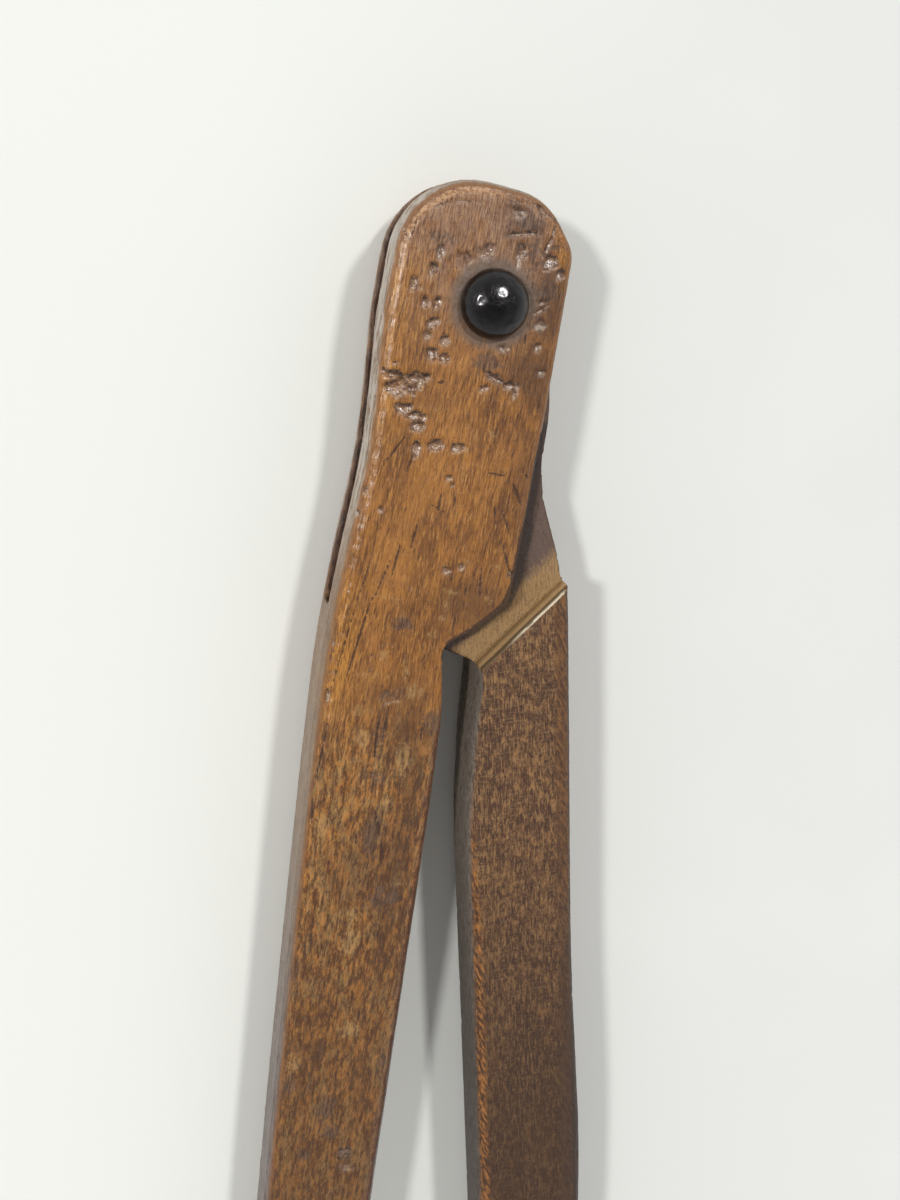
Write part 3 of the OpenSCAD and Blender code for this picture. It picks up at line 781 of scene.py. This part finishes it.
def add_room(scene):
    """Light of the room, stronger from the sides than from above"""
    world = bpy.data.worlds.new("room")
    world.use_nodes = True
    scene.world = world
    tree = world.node_tree
    way = tree.nodes.new("ShaderNodeTexCoord")
    parts = tree.nodes.new("ShaderNodeSeparateXYZ")
    tree.links.new(way.outputs["Generated"], parts.inputs[0])
    rise = tree.nodes.new("ShaderNodeMapRange")
    tree.links.new(parts.outputs["Z"], rise.inputs["Value"])
    rise.inputs["To Min"].default_value = settings().horizon
    rise.inputs["To Max"].default_value = settings().overhead
    background = tree.nodes["Background"]
    tree.links.new(rise.outputs["Result"], background.inputs["Strength"])
    background.inputs["Color"].default_value = colour(252, 253, 255)


def add_camera(scene):
    """Camera that looks down on the upper third of the compass"""
    lens = bpy.data.cameras.new("camera")
    lens.lens = FOCAL_LENGTH
    lens.sensor_width = SENSOR_WIDTH
    lens.clip_start = 0.01
    camera = bpy.data.objects.new("camera", lens)
    camera.location = Vector(CAMERA_PLACE) * MM
    camera.rotation_euler = [radians(a) for a in CAMERA_TURN]
    scene.collection.objects.link(camera)
    scene.camera = camera


class CompassSettings(bpy.types.PropertyGroup):
    """Sizes and colours of the compass that a user would change"""
    leg_faces: FloatProperty(name="Leg Faces", description="Size of the faces on the legs",
                             default=0.001, min=0.0008, max=0.003, unit="LENGTH", subtype="DISTANCE")
    honey_wood: FloatVectorProperty(name="Fork Wood", description="Lighter colour of the fork leg's wood",
                                    subtype="COLOR", size=4, default=colour(158, 104, 48))
    brown_wood: FloatVectorProperty(name="Tongue Wood", description="Lighter colour of the tongue leg's wood",
                                    subtype="COLOR", size=4, default=colour(120, 84, 51))
    black_iron: FloatVectorProperty(name="Iron", description="Colour of the rivet, washer and collars",
                                    subtype="COLOR", size=4, default=colour(36, 34, 35))
    floor_colour: FloatVectorProperty(name="Floor", description="Colour of the floor",
                                      subtype="COLOR", size=4, default=colour(241, 242, 235))
    lamp_strength: FloatProperty(name="Lamps", description="Light of each lamp on a level surface",
                                 default=0.295, min=0.0, max=2.0)
    horizon: FloatProperty(name="Room Sides", description="Light of the room from the sides",
                           default=1.02, min=0.0, max=2.0)
    overhead: FloatProperty(name="Room Top", description="Light of the room from above",
                            default=0.2, min=0.0, max=2.0)


class COMPASS_OT_fork_wood(bpy.types.Operator):
    """Wood of the fork leg, with its dents, gouges and cuts"""
    bl_idname = "compass.fork_wood"
    bl_label = "Fork Leg"

    def execute(self, context):
        mesh = even_mesh("fork_leg", lambda c, n: n.z > 0.6 and c.z > 24 and c.y > -112)
        co, normal, points, edge, dents, depth = worn(mesh, FORK_TURN, FORK_DENTS, FORK_GOUGES, 0.5)
        lowered(mesh, co, normal, depth)
        dented = read(mesh, "normal")

        x, y, z = points.T
        front = normal[:, 2] > 0.3
        side = 1 - step(0.3, 0.8, np.abs(normal[:, 2]))
        left_strip = step(-20, -26.5, x) * step(-66, -80, y) * step(-112, -98, y)
        left_head = step(-13, -24, x) * step(16, 4, y) * step(-44, -24, y)
        right_rim = step(13, 16, x) * step(20, 12, y) * step(2, 8, y)
        in_slot = (np.abs(z) < SLOT_HALF + 0.3) & (y > SLOT_FOOT - SLOT_SLANT * x)
        rim = step(0.08, 0.3, edge) * step(0.75, 0.6, edge) * front
        # Strength of the painted highlight along the rim, most at the upper left of the head
        rubbed = 0.25 * step(4, -16, x) + 0.4 * step(4, -6, x) * step(2, 14, y)
        keep(mesh, edge=edge, side=side, dent=dents,
             amber=np.clip(left_strip + 0.7 * left_head + 0.8 * right_rim, 0, 1) * front,
             # Greyer head, partly a painted sheen
             head=step(-22, 14, y) * step(14, 6, x - 0.1 * y) * front,
             ring=(1 - step(9.3, 12.6, np.hypot(x, y))) * front,
             # Painted shadow under the dents' upper walls, and painted highlight on their lower walls
             brow=step(0.1, 0.4, -dented[:, 1]) * step(0.02, 0.1, dents),
             lip=step(0.08, 0.3, dented[:, 1] - 0.6 * dented[:, 0]) * step(0.02, 0.1, dents),
             cut=np.where(front, line_gap(points, FORK_CUTS), FAR),
             pale=np.where(front, oval_gap(points, FORK_PALE), FAR),
             stain=np.where(front, oval_gap(points, FORK_STAINS), FAR),
             tone=soft_tones(points, FORK_TONES) * front,
             # Inner faces of the slot, painted dark as shade
             slot=spread(mesh, in_slot * 1.0),
             # Band along the edge of the front cheek, painted dark as shade
             grime=np.where(z > SLOT_HALF, line_gap(points, CHEEK_EDGE, 0), FAR),
             # Left side high up, painted pale as a reflection
             pale_side=0.6 * side * step(-0.2, -0.7, normal[:, 0]) * step(-80, -45, y),
             # Painted highlight along the rim
             rubbed=rim * rubbed * step(-80, -30, y),
             # Darker along the inner rim low on the leg
             seam=0.8 * step(0.45, 0.8, edge) * step(-12, -6, x) * step(-96, -112, y) * front)
        new_piece("fork_wood", mesh, shared(polished_wood), "fork", "fork_leg")
        return {"FINISHED"}


class COMPASS_OT_tongue_wood(bpy.types.Operator):
    """Wood of the tongue leg, with its sawn tongue and shoulders"""
    bl_idname = "compass.tongue_wood"
    bl_label = "Tongue Leg"

    def execute(self, context):
        mesh = even_mesh("tongue_leg", lambda c, n: n.z > 0.3 and c.z > 18 and -115 < c.y < -50)
        co, normal, points, edge, _, depth = worn(mesh, TONGUE_TURN, [], [], 0.12)
        lowered(mesh, co, normal, depth)

        x, y, z = points.T
        x1, y1, x2, y2 = SHOULDER
        above = ((x - x2) * (y1 - y2) - (y - y2) * (x1 - x2)) / -np.hypot(x1 - x2, y1 - y2)
        flat = step(0.3, 0.8, np.abs(normal[:, 2]))
        left_band = 0.4 + 3.0 * step(-100, -175, y)
        amber = step(13.4, 15.2, x) + step(17.4, 19.0, x)
        amber += step(left_band, left_band - 0.9, x - TONGUE_INNER)
        sawn = (above > 0.6) | ((above < -0.6) & (normal[:, 0] < 0))
        near_cheek = line_gap(in_leg(co, FORK_TURN), CHEEK_EDGE, 0) - 1.7
        keep(mesh, edge=edge, above=above,
             recess=(above > -0.6) * np.maximum(flat, step(0.5, -0.5, np.abs(above) - 0.5)),
             amber=amber * step(-310, -250, y) * (above < 0) * (normal[:, 2] > 0.2),
             sawn=(1 - flat) * sawn,
             # Painted highlight along the shoulder's arris
             arris=step(0.5, 0.15, np.abs(above + 0.3)) * step(11.0, 12.0, z) * step(0, 8, x),
             # Height up the shoulder's wall, for its painted-paler lower part and darker top band
             wall=step(SLOT_HALF + 0.6, 12.0, z),
             # Band beside the edge of the front cheek, painted dark as shade
             grime=np.where((z > 3) & (z < 6), near_cheek, FAR))
        new_piece("tongue_wood", mesh, shared(dull_wood), "tongue", "tongue_leg")
        return {"FINISHED"}


class COMPASS_OT_rivet(bpy.types.Operator):
    """Hammered rivet with its domed head, and the washer under its tail"""
    bl_idname = "compass.rivet"
    bl_label = "Rivet and Washer"

    def execute(self, context):
        bm = spun(rivet_profile(), 96)
        hammered(bm, 2.4, 0.16)
        iron = shared(blackened_iron)
        new_piece("rivet_iron", finished(bm, "rivet_iron"), iron, "fork", "pivot_rivet")

        bm = spun(WASHER, 96)
        hammered(bm, 3.5, 0.12, 7)
        new_piece("rove_iron", finished(bm, "rove_iron"), iron, "fork", "rivet_rove")
        return {"FINISHED"}


class COMPASS_OT_collars(bpy.types.Operator):
    """Iron collars on the feet of the legs"""
    bl_idname = "compass.collars"
    bl_label = "Collars"

    def execute(self, context):
        for side, body in ((1, "fork"), (-1, "tongue")):
            name = body + "_collar"
            bm = block(*COLLAR, cuts=14)
            ends = [f for f in bm.faces if abs(f.normal.y) > 0.9]
            bmesh.ops.delete(bm, geom=ends, context="FACES_ONLY")
            bmesh.ops.recalc_face_normals(bm, faces=bm.faces)
            hammered(bm, 4, 0.15, side)
            bmesh.ops.solidify(bm, geom=bm.faces[:], thickness=COLLAR_WALL * MM)
            bmesh.ops.recalc_face_normals(bm, faces=bm.faces)
            bm.transform(foot_place(side))
            new_piece(name, finished(bm, name), shared(blackened_iron), body, body + "_ferrule")
        return {"FINISHED"}


class COMPASS_OT_points(bpy.types.Operator):
    """Forged points with their bolsters and tangs"""
    bl_idname = "compass.points"
    bl_label = "Points"

    def execute(self, context):
        down = Matrix.Translation((0, -COLLAR[2] * MM, 0))
        for side, body in ((1, "fork"), (-1, "tongue")):
            name = body + "_spike"
            bm = spun(spike_profile(), 32)
            hammered(bm, 5, 0.3, side)
            bm.transform(down @ Matrix.Rotation(radians(90), 4, "X"))
            bolster = block(*BOLSTER, cuts=1)
            rims = [e for e in bolster.edges if e.calc_face_angle(0) > radians(60)]
            bmesh.ops.bevel(bolster, geom=rims, offset=0.5 * MM, segments=2, profile=0.5, affect="EDGES",
                            material=-1)
            bolster.transform(down)
            part = finished(bolster, "bolster")
            bm.from_mesh(part)
            bpy.data.meshes.remove(part)
            bm.transform(foot_place(side))
            new_piece(name, finished(bm, name), shared(forged_iron), body, body + "_point")
        return {"FINISHED"}


class COMPASS_OT_nails(bpy.types.Operator):
    """Finish of the small nails that hold the collars"""
    bl_idname = "compass.nails"
    bl_label = "Nails"

    def execute(self, context):
        for name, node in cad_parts.items():
            if "nail" in name:
                node.data.materials.clear()
                node.data.materials.append(shared(forged_iron))
        return {"FINISHED"}


class COMPASS_OT_stage(bpy.types.Operator):
    """Pale floor, lamps, room light and camera"""
    bl_idname = "compass.stage"
    bl_label = "Stage"

    def execute(self, context):
        scene = context.scene
        add_floor(scene)
        add_lamps(scene)
        add_room(scene)
        add_camera(scene)
        scene.view_settings.view_transform = "Standard"
        return {"FINISHED"}


OPERATORS = (COMPASS_OT_fork_wood, COMPASS_OT_tongue_wood, COMPASS_OT_rivet, COMPASS_OT_collars,
             COMPASS_OT_points, COMPASS_OT_nails, COMPASS_OT_stage)


class COMPASS_PT_panel(bpy.types.Panel):
    """Steps that dress the compass"""
    bl_label = "Compass"
    bl_idname = "COMPASS_PT_panel"
    bl_space_type = "VIEW_3D"
    bl_region_type = "UI"
    bl_category = "Compass"

    def draw(self, context):
        for name in CompassSettings.__annotations__:
            self.layout.prop(context.scene.compass, name)
        for operator in OPERATORS:
            self.layout.operator(operator.bl_idname)


CLASSES = (CompassSettings, *OPERATORS, COMPASS_PT_panel)


def register():
    for made in CLASSES:
        bpy.utils.register_class(made)
    bpy.types.Scene.compass = PointerProperty(type=CompassSettings)


def unregister():
    del bpy.types.Scene.compass
    for made in reversed(CLASSES):
        bpy.utils.unregister_class(made)


def main():
    register()
    bpy.ops.compass.fork_wood()
    bpy.ops.compass.tongue_wood()
    bpy.ops.compass.rivet()
    bpy.ops.compass.collars()
    bpy.ops.compass.points()
    bpy.ops.compass.nails()
    bpy.ops.compass.stage()


if __name__ == "__main__":
    main()
